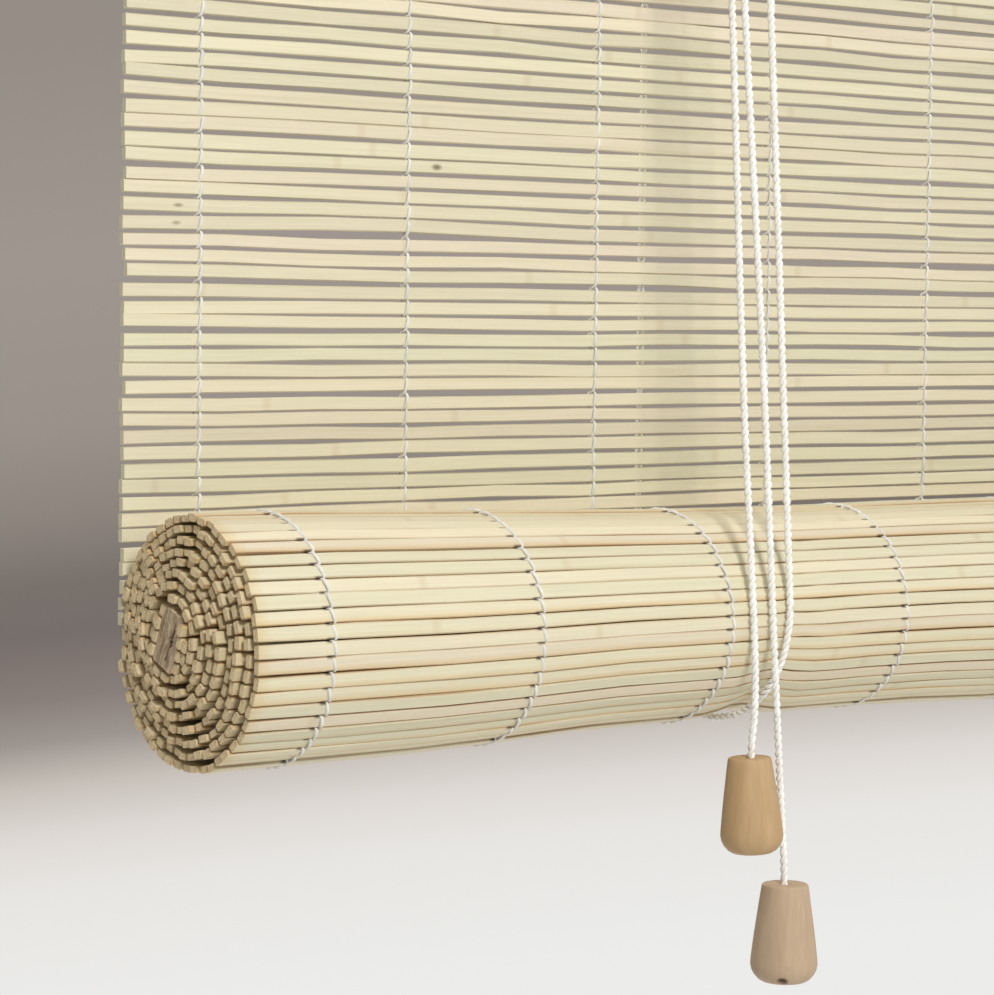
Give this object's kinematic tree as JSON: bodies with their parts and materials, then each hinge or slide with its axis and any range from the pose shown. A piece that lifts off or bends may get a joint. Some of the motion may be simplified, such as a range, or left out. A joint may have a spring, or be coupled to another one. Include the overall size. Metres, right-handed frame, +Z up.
{
  "type": "bamboo roll up blind",
  "caption": "Split bamboo slat blind, part rolled up in twisted cord loops that run over pulleys and a pawl lock to turned wooden pull knobs, hung by plates behind its head batten.",
  "frame": {"origin": "midway between the two hanger holes, on the wall face", "axes": "+X along the slats to the right as seen from the room, +Y into the wall, +Z up"},
  "size_m": [0.908, 0.092, 0.7377],
  "materials": {
    "bamboo": "satin",
    "warp_thread": "matte",
    "batten_wood": "matte",
    "knob_wood": "satin",
    "cord": "matte",
    "plated_steel": "satin",
    "fastener": "satin",
    "wheel_brass": "satin"
  },
  "bodies": {
    "head": {"head_batten": "batten_wood", "rear_lath": "batten_wood", "lath_nails": "fastener", "hanger_plate_left": "plated_steel", "hanger_plate_right": "plated_steel", "hanger_screws": "fastener", "slat_mat": "bamboo", "mat_warp_threads": "warp_thread", "lock_bracket": "plated_steel", "lock_axle": "plated_steel", "pawl_pin": "plated_steel", "far_bracket": "plated_steel", "far_axle": "plated_steel", "bracket_screws": "fastener", "screw_eye_near": "plated_steel", "screw_eye_far": "plated_steel", "anchor_knot_near": "cord", "anchor_knot_far": "cord", "rear_strand_near": "cord", "rear_strand_far": "cord", "front_strand_near": "cord", "front_strand_far": "cord", "near_wheel_cord": "cord", "cross_cord": "cord", "pull_cord_near": "cord", "pull_cord_far": "cord"},
    "lift_loops": {"cord_bight_near": "cord", "cord_bight_far": "cord"},
    "roll": {"mat_roll": "bamboo", "roll_warp_threads": "warp_thread", "bottom_batten": "batten_wood"},
    "near_knob": {"pull_knob_near": "knob_wood", "knob_knot_near": "cord"},
    "far_knob": {"pull_knob_far": "knob_wood", "knob_knot_far": "cord"},
    "near_wheel": {"near_cord_wheel": "wheel_brass"},
    "lock_wheel": {"far_cord_lock_wheel": "wheel_brass"},
    "far_wheel": {"far_cord_wheel": "wheel_brass"},
    "pawl": {"lock_pawl": "plated_steel"}
  },
  "joints": [
    {"name": "roll_lift", "type": "slide", "parent": "head", "child": "lift_loops", "axis": [0, 0, 1], "range_m": [0, 0.48], "deforming": ["slat_mat", "mat_warp_threads", "front_strand_near", "front_strand_far", "rear_strand_near", "rear_strand_far"]},
    {"name": "roll_turn", "type": "hinge", "parent": "lift_loops", "child": "roll", "pos_m": [0, -0.0435, -0.60974], "axis": [1, 0, 0], "range_deg": [-786, 0]},
    {"name": "near_pull", "type": "slide", "parent": "head", "child": "near_knob", "axis": [0, 0, -1], "range_m": [0, 0.96], "deforming": ["pull_cord_near"]},
    {"name": "far_pull", "type": "slide", "parent": "head", "child": "far_knob", "axis": [0, 0, -1], "range_m": [0, 0.96], "deforming": ["pull_cord_far"]},
    {"name": "near_wheel_turn", "type": "hinge", "parent": "head", "child": "near_wheel", "pos_m": [-0.2553, -0.04, -0.043], "axis": [0, 1, 0], "range_deg": [-8090, 0]},
    {"name": "lock_wheel_turn", "type": "hinge", "parent": "head", "child": "lock_wheel", "pos_m": [-0.2553, -0.035, -0.043], "axis": [0, 1, 0], "range_deg": [-8090, 0]},
    {"name": "far_wheel_turn", "type": "hinge", "parent": "head", "child": "far_wheel", "pos_m": [0.2417, -0.035, -0.043], "axis": [0, 1, 0], "range_deg": [-8090, 0]},
    {"name": "pawl_release", "type": "hinge", "parent": "head", "child": "pawl", "pos_m": [-0.275, -0.0375, -0.055], "axis": [0, 1, 0], "range_deg": [0, 45]}
  ],
  "couplings": [
    {"joint": "roll_turn", "follows": "roll_lift", "rad_per_m": -28.571},
    {"joint": "near_pull", "follows": "roll_lift", "ratio": 2},
    {"joint": "far_pull", "follows": "roll_lift", "ratio": 2},
    {"joint": "near_wheel_turn", "follows": "roll_lift", "rad_per_m": -294.12},
    {"joint": "lock_wheel_turn", "follows": "roll_lift", "rad_per_m": -294.12},
    {"joint": "far_wheel_turn", "follows": "roll_lift", "rad_per_m": -294.12}
  ]
}
